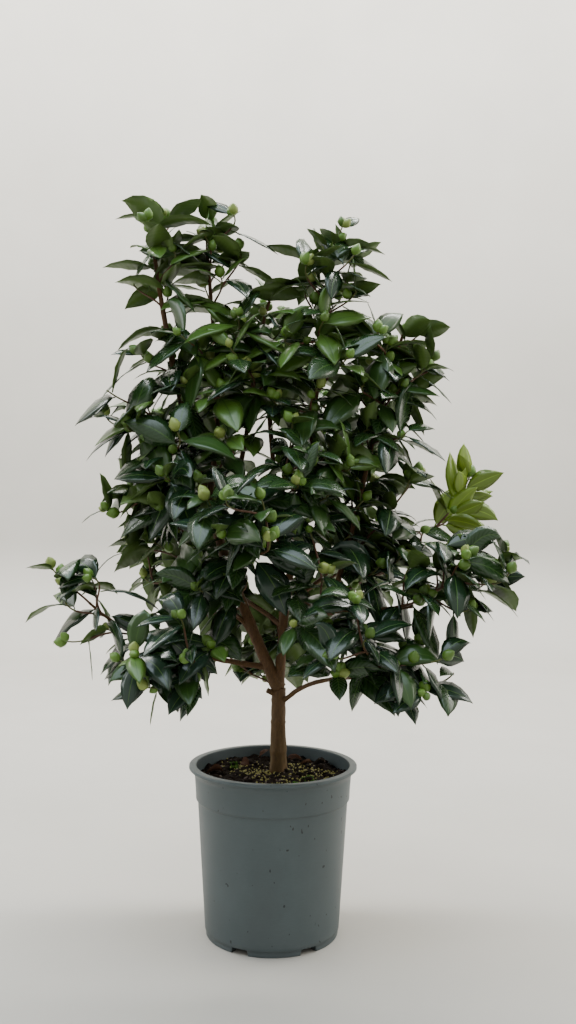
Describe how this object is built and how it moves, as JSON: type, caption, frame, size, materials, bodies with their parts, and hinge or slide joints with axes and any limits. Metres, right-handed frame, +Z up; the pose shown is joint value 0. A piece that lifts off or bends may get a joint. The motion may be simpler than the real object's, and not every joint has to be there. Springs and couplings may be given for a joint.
{
  "type": "camellia shrub in a nursery pot",
  "caption": "Potted evergreen camellia shrub with a short trunk, upright open crown of glossy leaves and green flower buds, in a tapered plastic nursery pot.",
  "frame": {"origin": "centre of the flat middle pad under the pot, on the surface that the pot stands on", "axes": "+Z up along the pot's axis; -Y is the front, the side that the reference view shows; +X is to the right seen from the front, along the crown's width"},
  "size_m": [0.7548, 0.5196, 1.1412],
  "materials": {
    "pot_plastic": "blue-grey moulded polypropylene, satin with faint scuffs",
    "compost": "damp dark compost with bark bits and a little moss",
    "bark": "smooth grey-brown bark, redder on the young wood",
    "leaf": "glossy dark green leaves",
    "young_leaf": "satin yellow-green young leaves",
    "bud": "satin lime-green flower buds"
  },
  "bodies": {
    "root": {"pot": "pot_plastic", "compost": "compost", "trunk": "bark", "left_leader": "bark", "right_leader": "bark", "back_leader": "bark", "middle_leader": "bark", "centre_leader": "bark", "right_limb": "bark", "outer_leader": "bark", "right_bough": "bark", "pale_bough": "bark", "low_right_bough": "bark", "low_left_bough": "bark", "left_bough": "bark", "left_wing_bough": "bark", "front_bough": "bark", "front_right_bough": "bark", "back_left_bough": "bark", "back_right_bough": "bark", "high_back_left_bough": "bark", "high_back_right_bough": "bark", "low_back_bough": "bark", "left_spire": "leaf", "middle_spire": "leaf", "left_shoulder": "leaf", "left_wing": "leaf", "left_flank": "leaf", "left_arm": "leaf", "left_elbow": "leaf", "left_skirt": "leaf", "left_core": "leaf", "left_breast": "leaf", "front_breast": "leaf", "centre_crown": "leaf", "right_spire": "leaf", "right_shoulder": "leaf", "outer_spire": "leaf", "right_flank": "leaf", "right_core": "leaf", "pale_shoot": "young_leaf", "right_arm": "leaf", "right_skirt": "leaf", "right_breast": "leaf", "right_inner": "leaf", "back_crown": "leaf", "back_right_crown": "leaf", "back_left_crown": "leaf", "back_left_skirt": "leaf", "back_right_skirt": "leaf", "low_back_skirt": "leaf"}
  },
  "joints": []
}
